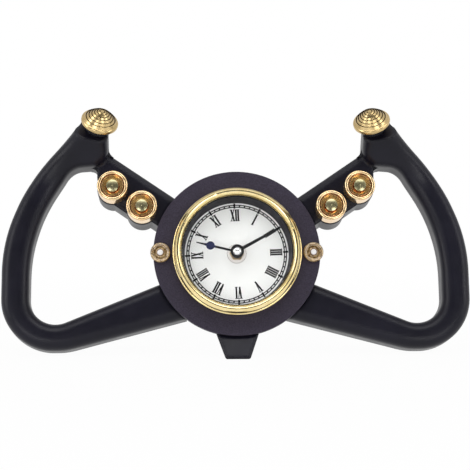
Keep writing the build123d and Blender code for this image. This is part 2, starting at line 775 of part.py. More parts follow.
def button_dome(x, z):
    """The domed button in the middle of a cup, on its stem."""
    top = WING_FRONT - CUP_HEIGHT - DOME_RISE
    side = top + DOME_CROWN
    well = WING_FRONT - CUP_HEIGHT + CUP_FLOOR_DROP
    edges = [
        crowned(DOME_RADIUS, side, top),
        Polyline(
            (DOME_RADIUS, side),
            (DOME_RADIUS, well),
            (DOME_STEM_RADIUS, well),
            (DOME_STEM_RADIUS, well + DOME_STEM_LENGTH),
            (0, well + DOME_STEM_LENGTH),
            (0, top),
        ),
    ]
    return turned_edges(edges, x, z)


def on_neck(shape):
    """Place a shape turned about Y so that its depth runs back along the neck of the right horn."""
    side = Vector(1, 0, 0)
    across = (side - NECK_AXIS * side.dot(NECK_AXIS)).normalized()
    plane = Plane(origin=NECK_END, x_dir=across, z_dir=across.cross(NECK_AXIS * -1))
    return plane * shape


def collar():
    """The black waisted collar between the horn and its finial."""
    profile = [
        (FINIAL_STUD_RADIUS + SHANK_GAP, -COLLAR_LENGTH),
        (COLLAR_RADIUS - COLLAR_WAIST, -COLLAR_LENGTH),
        (COLLAR_RADIUS - COLLAR_WAIST, -COLLAR_LENGTH / 2),
        (COLLAR_RADIUS, -COLLAR_LENGTH / 3),
        (COLLAR_RADIUS, -FIT_GAP),
        (FINIAL_STUD_RADIUS + SHANK_GAP, -FIT_GAP),
    ]
    return on_neck(turned(profile))


def finial():
    """A brass finial: a stud, a small boss, a rounded skirt and a dome of fine rings."""
    seat = -COLLAR_LENGTH - FIT_GAP
    base = seat - FINIAL_BOSS_HEIGHT
    shoulder = base - FINIAL_SKIRT
    inset = FINIAL_RADIUS - FINIAL_SKIRT_ROUND
    low = (FINIAL_RADIUS, base - FINIAL_SKIRT_ROUND)
    high = (FINIAL_RADIUS, shoulder + FINIAL_SKIRT_ROUND)
    stud = [
        (0, FINIAL_STUD_LENGTH + seat),
        (FINIAL_STUD_RADIUS, FINIAL_STUD_LENGTH + seat),
        (FINIAL_STUD_RADIUS, seat),
        (FINIAL_BOSS_RADIUS, seat),
        (FINIAL_BOSS_RADIUS, base),
        (inset, base),
    ]
    rings = dome_rings(inset, shoulder)
    edges = [
        Polyline(*stud),
        bulge(low, (inset, base)),
        Line(low, high),
        bulge(high, (inset, shoulder)),
        Polyline(*rings, (0, rings[-1][1]), stud[0]),
    ]
    return on_neck(turned_edges(edges))


def dome_rings(outside, foot_depth):
    """The stepped profile of the dome, from its foot in to its tip, with a groove inside each ring."""
    tread = (outside - FINIAL_TIP_RADIUS) / FINIAL_RINGS
    groove = tread * FINIAL_GROOVE_SHARE
    points = [(outside, foot_depth)]
    radius = outside
    for ring in range(1, FINIAL_RINGS + 1):
        share = ring / FINIAL_RINGS
        swell = FINIAL_DOME_SHARE * math.sin(share * math.pi / 2) + (1 - FINIAL_DOME_SHARE) * share
        depth = foot_depth - FINIAL_DOME_HEIGHT * swell
        radius -= tread
        points.append((radius + groove, depth))
        points.append((radius + groove, depth + FINIAL_GROOVE_DEPTH))
        points.append((radius, depth + FINIAL_GROOVE_DEPTH))
        points.append((radius, depth))
    return points


def side_screw(side):
    """A dished brass cap screw through the front ring into the drum."""
    top = -SIDE_SCREW_HEAD
    dish = top + SIDE_SCREW_DISH
    rim = SIDE_SCREW_RADIUS - SIDE_SCREW_RIM
    profile = [
        (0, top),
        (SIDE_SCREW_HUB_RADIUS / 2, top),
        (SIDE_SCREW_HUB_RADIUS, dish),
        (rim - SIDE_SCREW_RIM / 2, dish),
        (rim, top),
        (SIDE_SCREW_RADIUS - SIDE_SCREW_RIM / 2, top),
        (SIDE_SCREW_RADIUS, top + SIDE_SCREW_RIM / 2),
        (SIDE_SCREW_RADIUS, 0),
        (SIDE_SCREW_SHANK, 0),
        (SIDE_SCREW_SHANK, SIDE_SCREW_LENGTH),
        (0, SIDE_SCREW_LENGTH),
    ]
    return turned(profile, side * SIDE_SCREW_ORBIT, 0)


# Foot, drawn as the clock stands, with the hub's axis at height zero


def foot():
    top = -HUB_RADIUS + FOOT_HEIGHT_IN_HUB
    front = -FOOT_FRONT_REACH
    rake = math.tan(math.radians(FOOT_RAKE))
    corner = leaned(HUB_BACK, -HUB_BACK_RADIUS)
    side = [
        (front, FOOT_BASE),
        (front + (top - FOOT_BASE) * rake, top),
        (corner[0], top),
        (corner[0] + FOOT_TONGUE, FOOT_BASE + FOOT_TONGUE),
        (FOOT_REAR_REACH - FOOT_TONGUE / 2, FOOT_BASE + FOOT_TONGUE),
        (FOOT_REAR_REACH, FOOT_BASE + FOOT_TONGUE / 2),
        (FOOT_REAR_REACH, FOOT_BASE),
    ]
    draft = (top - FOOT_BASE) * math.tan(math.radians(FOOT_DRAFT))
    ends = [
        (-FOOT_BOTTOM_HALF, FOOT_BASE),
        (FOOT_BOTTOM_HALF, FOOT_BASE),
        (FOOT_BOTTOM_HALF + draft, top),
        (-FOOT_BOTTOM_HALF - draft, top),
    ]
    body = extrude(Plane.YZ * polygon(side), amount=FOOT_REAR_REACH, both=True)
    rounds = (FOOT_CORNER_ROUND, FOOT_CORNER_ROUND, 0, 0)
    front_face = make_face(FilletPolyline(*ends, radius=rounds, close=True))
    body &= extrude(Plane.XZ * front_face, amount=FOOT_REAR_REACH * 2, both=True)
    front_edges = body.edges().filter_by(lambda edge: edge.center().Y < 0)
    sloped = front_edges.filter_by(lambda edge: edge.bounding_box().size.Z > HUB_WALL)
    body = chamfer(sloped, FOOT_EDGE_CHAMFER)
    body -= Rot(-LEAN, 0, 0) * drum_space(HUB_BACK + JOINT_GAP)
    for depth in FOOT_SCREW_DEPTHS:
        hole = Pos(0, depth, -CAVITY_RADIUS - FOOT_SCREW_LENGTH / 2) * Cylinder(
            FOOT_SCREW_RADIUS + SHANK_GAP, FOOT_SCREW_LENGTH + SHANK_GAP
        )
        body -= Rot(-LEAN, 0, 0) * hole
    return body


def foot_screws():
    screws = []
    seat = math.sqrt(CAVITY_RADIUS**2 - FOOT_SCREW_HEAD_RADIUS**2) - FIT_GAP
    for depth in FOOT_SCREW_DEPTHS:
        length = FOOT_SCREW_LENGTH - OVERRUN
        height = FOOT_SCREW_HEAD_HEIGHT
        shank = Pos(0, depth, -seat - length / 2) * Cylinder(FOOT_SCREW_RADIUS, length)
        head = Pos(0, depth, -seat + height / 2) * Cylinder(FOOT_SCREW_HEAD_RADIUS, height)
        screws.append(shank + head)
    return Compound(children=screws)


# Movement


def square(half, corner):
    return RectangleRounded(half * 2, half * 2, corner)


def dial_gasket():
    return tube(BUSH_RADIUS + BUSH_CLEARANCE, GASKET_RADIUS, SHELF_FRONT, CASE_FRONT)


def mounting_washer():
    return tube(BUSH_RADIUS + BUSH_CLEARANCE, WASHER_RADIUS, DIAL_DEPTH - WASHER_THICKNESS, DIAL_DEPTH)


def mounting_nut():
    back = DIAL_DEPTH - WASHER_THICKNESS
    nut = slab(RegularPolygon(NUT_RADIUS, 6), back - NUT_THICKNESS, back)
    return nut - rod(BUSH_RADIUS + RUN_GAP, back - NUT_THICKNESS - OVERRUN, back + OVERRUN)


def movement_case():
    """The moulded cup of the movement, with its threaded bush, battery bay and bridge posts."""
    case = slab(square(HALF_CASE, CASE_CORNER), CASE_FRONT, LID_FRONT)
    inner_corner = CASE_CORNER - CASE_WALL
    chamber = slab(square(CASE_INSIDE, inner_corner), CHAMBER_FRONT, LID_FRONT + OVERRUN)
    wall = block(-HALF_CASE, HALF_CASE, CHAMBER_FRONT, LID_FRONT + OVERRUN, BAY_TOP - CASE_WALL, BAY_TOP)
    case -= chamber - wall
    case += rod(BUSH_RADIUS, BUSH_FRONT, CHAMBER_FRONT)
    case -= rod(PIPE_RADIUS + RUN_GAP, BUSH_FRONT - OVERRUN, CHAMBER_FRONT + FIT_GAP)
    for x, z in POST_PLACES:
        case += rod(POST_RADIUS, CHAMBER_FRONT, BRIDGE_FRONT, x, z)
    pivot_end = CASE_FRONT + CASE_WALL / 3
    return case - rod(PIVOT_RADIUS + RUN_GAP, pivot_end, CHAMBER_FRONT + OVERRUN, 0, WHEEL_DISTANCE)


def movement_cover():
    """The movement's back plate, open over the battery bay and bored for the setting arbor."""
    cover = slab(square(HALF_CASE, CASE_CORNER), LID_FRONT, CASE_BACK)
    bay_top = BAY_TOP - CASE_WALL
    cover -= block(-CASE_INSIDE, CASE_INSIDE, LID_FRONT - OVERRUN, CASE_BACK + OVERRUN, -CASE_INSIDE, bay_top)
    x, z = SETTER_PLACE
    return cover - rod(SETTER_RADIUS + RUN_GAP, LID_FRONT - OVERRUN, CASE_BACK + OVERRUN, x, z)


def gear_bridge():
    """A plate on four posts that carries the rear pivots."""
    xs = [x for x, _ in POST_PLACES]
    zs = [z for _, z in POST_PLACES]
    bridge = block(
        min(xs) - BRIDGE_MARGIN,
        max(xs) + BRIDGE_MARGIN,
        BRIDGE_FRONT,
        BRIDGE_BACK,
        min(zs) - BRIDGE_MARGIN,
        max(zs) + BRIDGE_MARGIN,
    )
    front = BRIDGE_FRONT - OVERRUN
    back = BRIDGE_BACK + OVERRUN
    x, z = SETTER_PLACE
    bridge -= rod(PIVOT_RADIUS + RUN_GAP, front, back)
    bridge -= rod(PIVOT_RADIUS + RUN_GAP, front, back, 0, WHEEL_DISTANCE)
    return bridge - rod(SETTER_RADIUS + RUN_GAP, front, back, x, z)


def circuit_board():
    board = block(
        -CASE_INSIDE + JOINT_GAP,
        CASE_INSIDE - JOINT_GAP,
        LID_FRONT - BOARD_THICKNESS,
        LID_FRONT,
        BAY_TOP + JOINT_GAP,
        CASE_INSIDE - CASE_CORNER,
    )
    x, z = SETTER_PLACE
    return board - rod(SETTER_RADIUS * 2, LID_FRONT - BOARD_THICKNESS - OVERRUN, LID_FRONT + OVERRUN, x, z)


def drive_coil():
    """The winding of the step motor on its core, under the circuit board."""
    x, z = COIL_CENTRE
    y = LID_FRONT - BOARD_THICKNESS - COIL_RADIUS - FIT_GAP
    winding = Pos(x, y, z) * Cylinder(COIL_RADIUS, COIL_LENGTH)
    core = Pos(x, y, z) * Box(COIL_CORE * 2, COIL_CORE, COIL_LENGTH + COIL_RADIUS * 2)
    return winding + core


def battery_cell():
    body = Cylinder(CELL_RADIUS, CELL_LENGTH)
    nub = Pos(0, 0, (CELL_LENGTH + CELL_NUB_LENGTH) / 2) * Cylinder(CELL_NUB_RADIUS, CELL_NUB_LENGTH)
    cell = Rot(0, 90, 0) * (body + nub)
    return Pos(-CELL_NUB_LENGTH / 2, CELL_DEPTH, CELL_PLACE) * cell


def battery_contacts():
    plates = []
    low = CELL_PLACE - CONTACT_WIDTH / 2
    for side in (-1, 1):
        end = side * CASE_INSIDE
        inner = end - side * CONTACT_THICKNESS
        plates.append(
            block(min(end, inner), max(end, inner), CHAMBER_FRONT, LID_FRONT, low, low + CONTACT_WIDTH)
        )
    return Compound(children=plates)


# Motion work: the minute arbor turns the minute wheel, whose pinion turns the hour wheel


def gear(teeth, front, place, phase):
    """A spur gear. Its module follows from the wheel distance and the pair's teeth."""
    pair = CANNON_TEETH + MINUTE_TEETH
    if teeth in (STEP_TEETH, HOUR_TEETH):
        pair = STEP_TEETH + HOUR_TEETH
    module = WHEEL_DISTANCE * 2 / pair
    pitch_radius = module * teeth / 2
    tip = pitch_radius + module * ADDENDUM_SHARE
    root = pitch_radius - module * DEDENDUM_SHARE
    step = 360 / teeth
    points = []
    for index in range(teeth):
        middle = phase + index * step
        corners = (
            (root, -step * TOOTH_ROOT_SHARE / 2),
            (tip, -step * TOOTH_TIP_SHARE / 2),
            (tip, step * TOOTH_TIP_SHARE / 2),
            (root, step * TOOTH_ROOT_SHARE / 2),
        )
        for radius, offset in corners:
            points.append(round_about((place[0], place[1], radius), middle + offset))
    return slab(polygon(points), front, front + GEAR_THICKNESS)


def minute_arbor():
    """The centre arbor with its pinion, running through the hour pipe to the minute hand."""
    arbor = rod(ARBOR_RADIUS, MINUTE_HAND_DEPTH - HAND_THICKNESS, BRIDGE_FRONT - END_PLAY / 2)
    arbor += gear(CANNON_TEETH, MINUTE_WHEEL_FRONT, (0, 0), 90)
    return arbor + rod(PIVOT_RADIUS, MINUTE_WHEEL_FRONT, BRIDGE_BACK)


def minute_wheel():
    """The reducing wheel and its pinion on one arbor."""
    place = (0, WHEEL_DISTANCE)
    wheel = gear(MINUTE_TEETH, MINUTE_WHEEL_FRONT, place, 270 + 180 / MINUTE_TEETH)
    wheel += gear(STEP_TEETH, HOUR_WHEEL_FRONT, place, 270)
    sleeve = WHEEL_DISTANCE / STEP_TEETH
    wheel += rod(sleeve, HOUR_WHEEL_FRONT, MINUTE_WHEEL_FRONT + GEAR_THICKNESS, *place)
    return wheel + rod(PIVOT_RADIUS, CASE_FRONT + CASE_WALL / 2, BRIDGE_BACK, *place)


def hour_wheel():
    """The hour wheel on the pipe that carries the hour hand."""
    wheel = gear(HOUR_TEETH, HOUR_WHEEL_FRONT, (0, 0), 90 + 180 / HOUR_TEETH)
    wheel += rod(PIPE_RADIUS, HOUR_HAND_DEPTH, HOUR_WHEEL_FRONT + GEAR_THICKNESS)
    return wheel - rod(PIPE_BORE, HOUR_HAND_DEPTH - OVERRUN, BRIDGE_FRONT)


def setting_arbor():
    """The rear setting arbor, whose pinion turns the minute wheel."""
    x, z = SETTER_PLACE
    arbor = gear(CANNON_TEETH, MINUTE_WHEEL_FRONT, SETTER_PLACE, 180)
    return arbor + rod(SETTER_RADIUS, MINUTE_WHEEL_FRONT, CASE_BACK + KNOB_HEIGHT - CASE_WALL / 2, x, z)


def setting_knob():
    """A fluted knob pressed on the end of the setting arbor."""
    x, z = SETTER_PLACE
    front = CASE_BACK + END_PLAY
    back = CASE_BACK + KNOB_HEIGHT
    points = []
    for index in range(KNOB_FLUTES * 2):
        radius = KNOB_RADIUS - (index % 2) * KNOB_FLUTE_DEPTH
        points.append(round_about((x, z, radius), index * 180 / KNOB_FLUTES))
    knob = slab(polygon(points), front, back)
    return knob - rod(SETTER_RADIUS + FIT_GAP, front - OVERRUN, back - CASE_WALL / 2 + FIT_GAP, x, z)


# Hands


def clock_turn(shape, angle):
    """Turn a hand drawn at twelve o'clock to an angle read clockwise from the front."""
    return Rot(0, angle, 0) * shape


def hour_hand():
    """A slender hand with a round eye."""
    hub = Circle(HOUR_HUB_RADIUS)
    stem = polygon(
        [
            (-HOUR_STEM / 2, 0),
            (HOUR_STEM / 2, 0),
            (HOUR_STEM / 2, HOUR_EYE_PLACE),
            (-HOUR_STEM / 2, HOUR_EYE_PLACE),
        ]
    )
    tip = polygon(
        [
            (-HOUR_EYE_RADIUS / 2, HOUR_EYE_PLACE),
            (HOUR_EYE_RADIUS / 2, HOUR_EYE_PLACE),
            (HOUR_TIP, HOUR_EYE_PLACE + HOUR_EYE_RADIUS * 1.5),
            (HOUR_TIP / 2, HOUR_LENGTH),
            (-HOUR_TIP / 2, HOUR_LENGTH),
            (-HOUR_TIP, HOUR_EYE_PLACE + HOUR_EYE_RADIUS * 1.5),
        ]
    )
    eye = Pos(0, HOUR_EYE_PLACE) * Circle(HOUR_EYE_RADIUS)
    bore = Circle(PIPE_RADIUS + FIT_GAP)
    hand = slab(hub + stem + tip + eye - bore, HOUR_HAND_DEPTH, HOUR_HAND_DEPTH + HAND_THICKNESS)
    return clock_turn(hand, HOUR_ANGLE)


def minute_hand():
    """A tapered baton on a round hub."""
    hub = Circle(MINUTE_HUB_RADIUS)
    blade = polygon(
        [
            (-MINUTE_ROOT / 2, 0),
            (MINUTE_ROOT / 2, 0),
            (MINUTE_TIP / 2, MINUTE_LENGTH - MINUTE_ROOT),
            (0, MINUTE_LENGTH),
            (-MINUTE_TIP / 2, MINUTE_LENGTH - MINUTE_ROOT),
        ]
    )
    bore = Circle(ARBOR_RADIUS + FIT_GAP)
    hand = slab(hub + blade - bore, MINUTE_HAND_DEPTH, MINUTE_HAND_DEPTH + HAND_THICKNESS)
    return clock_turn(hand, MINUTE_ANGLE)


def hand_cap_nut():
    """The domed nut that holds the minute hand on its arbor."""
    top = MINUTE_HAND_DEPTH - CAP_HEIGHT
    side = MINUTE_HAND_DEPTH - CAP_HEIGHT / 3
    blind = MINUTE_HAND_DEPTH - HAND_THICKNESS - FIT_GAP
    edges = [
        crowned(CAP_RADIUS, side, top),
        Polyline(
            (CAP_RADIUS, side),
            (CAP_RADIUS, MINUTE_HAND_DEPTH),
            (ARBOR_RADIUS + FIT_GAP, MINUTE_HAND_DEPTH),
            (ARBOR_RADIUS + FIT_GAP, blind),
            (0, blind),
            (0, top),
        ),
    ]
    return turned_edges(edges)


# Assembly


def mirrored(shape):
    return mirror(shape, about=Plane.YZ)


def upright_pieces():
    """Every piece that is drawn about the hub's upright axis."""
    pieces = {
        "hub_housing": hub_housing(),
        "front_ring": front_ring(),
        "rear_cover": rear_cover(),
        "rear_cover_screws": rear_cover_screws(),
        "bezel_ring": bezel_ring(),
        "glass_lens": glass_lens(),
        "dial_spacer": dial_spacer(),
        "dial_plate": dial_plate(),
        "dial_gasket": dial_gasket(),
        "mounting_washer": mounting_washer(),
        "mounting_nut": mounting_nut(),
        "movement_case": movement_case(),
        "movement_cover": movement_cover(),
        "gear_bridge": gear_bridge(),
        "circuit_board": circuit_board(),
        "drive_coil": drive_coil(),
        "battery_cell": battery_cell(),
        "battery_contacts": battery_contacts(),
        "minute_arbor": minute_arbor(),
        "minute_wheel": minute_wheel(),
        "hour_wheel": hour_wheel(),
        "setting_arbor": setting_arbor(),
        "setting_knob": setting_knob(),
        "hour_hand": hour_hand(),
        "minute_hand": minute_hand(),
        "hand_cap_nut": hand_cap_nut(),
        "wing_bolts": wing_bolts(),
        "foot_screws": foot_screws(),
        "side_screw_left": side_screw(-1),
        "side_screw_right": side_screw(1),
    }
    wing = wing_right()
    pieces["wing_right"] = wing
    pieces["wing_left"] = mirrored(wing)
    pieces["collar_right"] = collar()
    pieces["collar_left"] = mirrored(collar())
    pieces["finial_right"] = finial()
    pieces["finial_left"] = mirrored(finial())
    for name, place in zip(("inner", "outer"), BUTTON_PLACES):
        for side, sign in (("left", -1), ("right", 1)):
            pieces[f"button_cup_{name}_{side}"] = button_cup(sign * place[0], place[1])
            pieces[f"button_dome_{name}_{side}"] = button_dome(sign * place[0], place[1])
    return pieces


def standing_pieces():
    """All pieces leaned back, set on the ground and centred over their own base."""
    pieces = {name: Rot(-LEAN, 0, 0) * shape for name, shape in upright_pieces().items()}
    pieces["foot"] = foot()
    ground = block(
        -WING_REACH * 2, WING_REACH * 2, -WING_REACH, WING_REACH, FOOT_BASE - WING_DROP, FOOT_BASE
    )
    for name in ("wing_left", "wing_right"):
        pieces[name] -= ground
    boxes = [shape.bounding_box() for shape in pieces.values()]
    middle = (min(box.min.Y for box in boxes) + max(box.max.Y for box in boxes)) / 2
    return {name: Pos(0, -middle, -FOOT_BASE) * shape for name, shape in pieces.items()}


os.makedirs("parts", exist_ok=True)
for node, shape in standing_pieces().items():
    export_step(shape, f"parts/{node}.step")
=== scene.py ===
import json
import math

import bpy
import bmesh
from mathutils import Euler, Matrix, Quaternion, Vector


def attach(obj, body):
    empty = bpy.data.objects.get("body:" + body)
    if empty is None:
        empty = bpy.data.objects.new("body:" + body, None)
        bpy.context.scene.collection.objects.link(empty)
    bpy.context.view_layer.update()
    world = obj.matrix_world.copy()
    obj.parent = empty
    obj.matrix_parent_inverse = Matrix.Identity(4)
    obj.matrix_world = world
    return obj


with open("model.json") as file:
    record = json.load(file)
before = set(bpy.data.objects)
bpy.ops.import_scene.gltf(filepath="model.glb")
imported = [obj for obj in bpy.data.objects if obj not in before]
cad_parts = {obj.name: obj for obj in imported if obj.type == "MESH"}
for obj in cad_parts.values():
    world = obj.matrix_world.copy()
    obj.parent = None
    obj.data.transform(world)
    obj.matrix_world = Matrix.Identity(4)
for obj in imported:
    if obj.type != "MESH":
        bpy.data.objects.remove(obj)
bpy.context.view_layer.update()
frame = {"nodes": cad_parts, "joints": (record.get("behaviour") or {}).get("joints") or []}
nodes = frame["nodes"]

MM = 0.001

# The hub's axis: across is to the right, up lies in the dial, and inward goes into the clock
minute_turn = next(joint for joint in frame["joints"] if joint["name"] == "minute_turn")
HUB = Vector(minute_turn["pos_m"])
INWARD = Vector(minute_turn["axis"]).normalized()
ACROSS = Vector((1, 0, 0))
UP = ACROSS.cross(INWARD).normalized()

# Hour hand at the photograph's time, with the place and size of the painted blue sheen on its eye
HOUR_ANGLE = 283.5
HOUR_EYE_REACH = 20.7 * MM
HOUR_EYE_SHEEN = 3.6 * MM
HOUR_EYE_FADE_SHARE = 1.3

# Dial print, which sits a little anticlockwise of upright
HOURS = ("XII", "I", "II", "III", "IIII", "V", "VI", "VII", "VIII", "IX", "X", "XI")
FULL_TURN = 360
MINUTES = 60
HOUR_TICK_EVERY = MINUTES // len(HOURS)
PRINT_TURN = 2.2
INK_THICKNESS = 0.05 * MM
TRACK_OUTER = 38.3 * MM
TRACK_INNER = 35.9 * MM
TRACK_LINE = 0.82 * MM
TRACK_STEPS = 180
TICK_WIDTH = 1.05 * MM
HOUR_TICK_WIDTH = 1.4 * MM
HOUR_TICK_OUTER = 39.3 * MM
HOUR_TICK_INNER = 35.3 * MM
NUMERAL_OUTER = 34.6 * MM
NUMERAL_INNER = 25.4 * MM
NUMERAL_WIDEST = 6.9 * MM
LETTER_WIDTH = {"I": 1.68 * MM, "V": 3.3 * MM, "X": 3.5 * MM}
THICK_STROKE = 1.34 * MM
THIN_STROKE = 0.7 * MM
SERIF_HEIGHT = 0.5 * MM
SERIF_REACH = 0.36 * MM
THIN_SERIF_SHARE = 0.8

# Edges, as the radius that the shading rounds them by
CASTING_EDGE = 4.0 * MM
PLATE_EDGE = 0.4 * MM
SCREW_EDGE = 0.7 * MM
WASHER_EDGE = 0.8 * MM
SMALL_EDGE = 0.2 * MM
EDGE_SAMPLES = 6

# Fine relief, as its height
CASTING_PEEL = 0.025 * MM
PLATE_GRAIN = 0.06 * MM
BRASS_SCRATCH = 0.004 * MM
SCREW_PITS = 0.05 * MM
PLAIN_GRAIN = 0.02 * MM
DIAL_GRAIN = 0.01 * MM
MOULDING_GRAIN = 0.04 * MM

# How far each brass is darkened in and near its grooves; on the cups and domes this is painted shade
BEZEL_GROOVE_REACH = 1.3 * MM
CUP_PAINTED_SHADE_REACH = 1.1 * MM
DOME_PAINTED_SHADE_REACH = 1.0 * MM
FINIAL_GROOVE_REACH = 1.3 * MM
NUT_GROOVE_REACH = 0.8 * MM
STAIN_SAMPLES = 8

# Painted highlight on the boss of a side screw and the dark ring round it, each with the end of its soft
# border
BOSS = 2.0 * MM
BOSS_BORDER = 2.5 * MM
BOSS_RING = 2.7 * MM
BOSS_RING_BORDER = 3.2 * MM

# Where noise has most of its values
NOISE_LOW = 0.3
NOISE_HIGH = 0.7

# Cosines between the rounded normal and the face: a full edge, and a face that counts as flat
EDGE_FULL = 0.86
EDGE_NONE = 0.995

# Ambient occlusion in the bottom of a groove and on an open face
GROOVE_BOTTOM = 0.35
GROOVE_NONE = 0.85

# Camera, as in the photograph: in front of the clock, a little above it and to its left
CAMERA_DISTANCE = 1.1
CAMERA_ELEVATION = 6.0
CAMERA_TURN = 2.2
CAMERA_ROLL = 0.07
CAMERA_RISE = 13.4 * MM
CAMERA_SHIFT_LEFT = 1.5 * MM
CAMERA_LENS = 111.4
CAMERA_SENSOR = 36.0

# Floor, with the white that the shadow under the clock keeps and where that fades out
FLOOR_REACH = 12.0
FLOOR_TONE = 0.6
SHADOW_WHITE = 0.97
SHADOW_NEAR = 0.12
SHADOW_FAR = 0.5

# World strength in front and behind, and where it rises on the way, from -1 in front to 1 behind
ROOM_LIGHT = 0.36
BACKDROP_LIGHT = 0.9
LIGHT_RISE = (-0.6, 0.3)
ROOM_REFLECTED = 0.14
ROOM_THROUGH_GLASS = 0.32
BACKDROP_SEEN = 1.0
SEEN_RISE = (-0.84, -0.3)

# Softboxes: place and size in metres, power in watts
LAMPS = {
    "top": ((0.0, -0.55, 1.3), (1.4, 0.5), 6.4),
    "left": ((-1.25, -0.55, 0.6), (0.4, 1.0), 5.0),
    "right": ((1.25, -0.6, 0.6), (0.4, 1.0), 3.8),
    "front_left": ((-0.55, -1.35, 0.2), (0.5, 0.4), 3.0),
    "front_right": ((0.55, -1.35, 0.2), (0.5, 0.4), 3.0),
}


def place(x, depth, up):
    """A point given across the dial, behind the hub's front face and up the dial."""
    return HUB + ACROSS * x + INWARD * depth + UP * up


def depths(node):
    """The least and greatest depth of a node behind the hub's front face."""
    found = [(vertex.co - HUB).dot(INWARD) for vertex in nodes[node].data.vertices]
    return min(found), max(found)


def front_middle(node):
    """The middle of a round piece, at its front end."""
    corners = [vertex.co for vertex in nodes[node].data.vertices]
    middle = sum(corners, Vector()) / len(corners)
    return middle + INWARD * (depths(node)[0] - (middle - HUB).dot(INWARD))


# Parts of materials


def new_material(name):
    """A material with one Principled shader on its output."""
    material = bpy.data.materials.new(name)
    material.use_nodes = True
    tree = material.node_tree
    tree.nodes.clear()
    tree.nodes.new("ShaderNodeOutputMaterial")
    shader = tree.nodes.new("ShaderNodeBsdfPrincipled")
    show(tree, shader.outputs["BSDF"])
    return material, tree, shader


def show(tree, surface):
    """Put a shader on the material's output."""
    output = next(node for node in tree.nodes if node.type == "OUTPUT_MATERIAL")
    tree.links.new(surface, output.inputs["Surface"])


def chosen(tree, factor, off, on):
    """One shader where the factor is 0 and another where it is 1."""
    node = tree.nodes.new("ShaderNodeMixShader")
    tree.links.new(factor, node.inputs["Fac"])
    tree.links.new(off, node.inputs[1])
    tree.links.new(on, node.inputs[2])
    return node.outputs["Shader"]


def ray_kinds(tree, *kinds):
    """1 for the named kinds of ray and 0 for the others."""
    path = tree.nodes.new("ShaderNodeLightPath")
    total = path.outputs[kinds[0]]
    for kind in kinds[1:]:
        either = tree.nodes.new("ShaderNodeMath")
        either.operation = "MAXIMUM"
        tree.links.new(total, either.inputs[0])
        tree.links.new(path.outputs[kind], either.inputs[1])
        total = either.outputs["Value"]
    return total


def own_place(tree):
    """The place on the object, in its own metres."""
    return tree.nodes.new("ShaderNodeTexCoord").outputs["Object"]


def noise(tree, cells, detail=4.0):
    """Noise with so many cells in a metre."""
    texture = tree.nodes.new("ShaderNodeTexNoise")
    texture.inputs["Scale"].default_value = cells
    texture.inputs["Detail"].default_value = detail
    tree.links.new(own_place(tree), texture.inputs["Vector"])
    return texture.outputs["Fac"]


def spread(tree, value, low, high, start=NOISE_LOW, end=NOISE_HIGH):
    """A value between start and end, carried over to the range from low to high."""
    node = tree.nodes.new("ShaderNodeMapRange")
    node.inputs["From Min"].default_value = start
    node.inputs["From Max"].default_value = end
    node.inputs["To Min"].default_value = low
    node.inputs["To Max"].default_value = high
    tree.links.new(value, node.inputs["Value"])
    return node.outputs["Result"]


def mixed(tree, factor, first, second):
    """A colour between two colours, by a factor from nodes."""
    node = tree.nodes.new("ShaderNodeMix")
    node.data_type = "RGBA"
    tree.links.new(factor, node.inputs["Factor"])
    for socket, colour in ((node.inputs["A"], first), (node.inputs["B"], second)):
        if isinstance(colour, tuple):
            socket.default_value = (*colour, 1)
        else:
            tree.links.new(colour, socket)
    return node.outputs["Result"]


def mottled(tree, pattern, first, second):
    """A colour that noise moves between two tones."""
    return mixed(tree, spread(tree, pattern, 0.0, 1.0), first, second)


def uneven_gloss(tree, shader, cells, low, high):
    """A roughness that noise moves between two values."""
    tree.links.new(spread(tree, noise(tree, cells), low, high), shader.inputs["Roughness"])


def rounded_edges(tree, radius):
    """A normal that rounds the sharp edges of turned and cast pieces."""
    node = tree.nodes.new("ShaderNodeBevel")
    node.samples = EDGE_SAMPLES
    node.inputs["Radius"].default_value = radius
    return node.outputs["Normal"]


def relief(tree, shader, rounded, pattern, height, strength):
    """Raise the surface by a pattern, on top of its rounded edges."""
    node = tree.nodes.new("ShaderNodeBump")
    node.inputs["Distance"].default_value = height
    node.inputs["Strength"].default_value = strength
    tree.links.new(pattern, node.inputs["Height"])
    tree.links.new(rounded, node.inputs["Normal"])
    tree.links.new(node.outputs["Normal"], shader.inputs["Normal"])


def on_edges(tree, rounded, base, other, share=1.0):
    """The base colour, moved by a share towards another on the edges."""
    geometry = tree.nodes.new("ShaderNodeNewGeometry")
    product = tree.nodes.new("ShaderNodeVectorMath")
    product.operation = "DOT_PRODUCT"
    tree.links.new(geometry.outputs["Normal"], product.inputs[0])
    tree.links.new(rounded, product.inputs[1])
    edge = spread(tree, product.outputs["Value"], share, 0.0, start=EDGE_FULL, end=EDGE_NONE)
    return mixed(tree, edge, base, other)


def in_grooves(tree, reach, base, groove_dark):
    """The base colour, darkened in and near the grooves by ambient occlusion; on the cups and domes this is
    painted shade.
    """
    node = tree.nodes.new("ShaderNodeAmbientOcclusion")
    node.samples = STAIN_SAMPLES
    node.inputs["Distance"].default_value = reach
    groove = spread(tree, node.outputs["AO"], 1.0, 0.0, start=GROOVE_BOTTOM, end=GROOVE_NONE)
    return mixed(tree, groove, base, groove_dark)


def near(tree, centre, inner, outer, mirrored=False):
    """1 within the inner distance of a point, 0 past the outer. Mirrored takes both halves of the clock."""
    position = own_place(tree)
    if mirrored:
        folded = tree.nodes.new("ShaderNodeVectorMath")
        folded.operation = "ABSOLUTE"
        tree.links.new(position, folded.inputs[0])
        position = folded.outputs["Vector"]
        centre = [abs(value) for value in centre]
    reach = tree.nodes.new("ShaderNodeVectorMath")
    reach.operation = "DISTANCE"
    tree.links.new(position, reach.inputs[0])
    reach.inputs[1].default_value = centre
    return spread(tree, reach.outputs["Value"], 1.0, 0.0, start=inner, end=outer)


# Materials


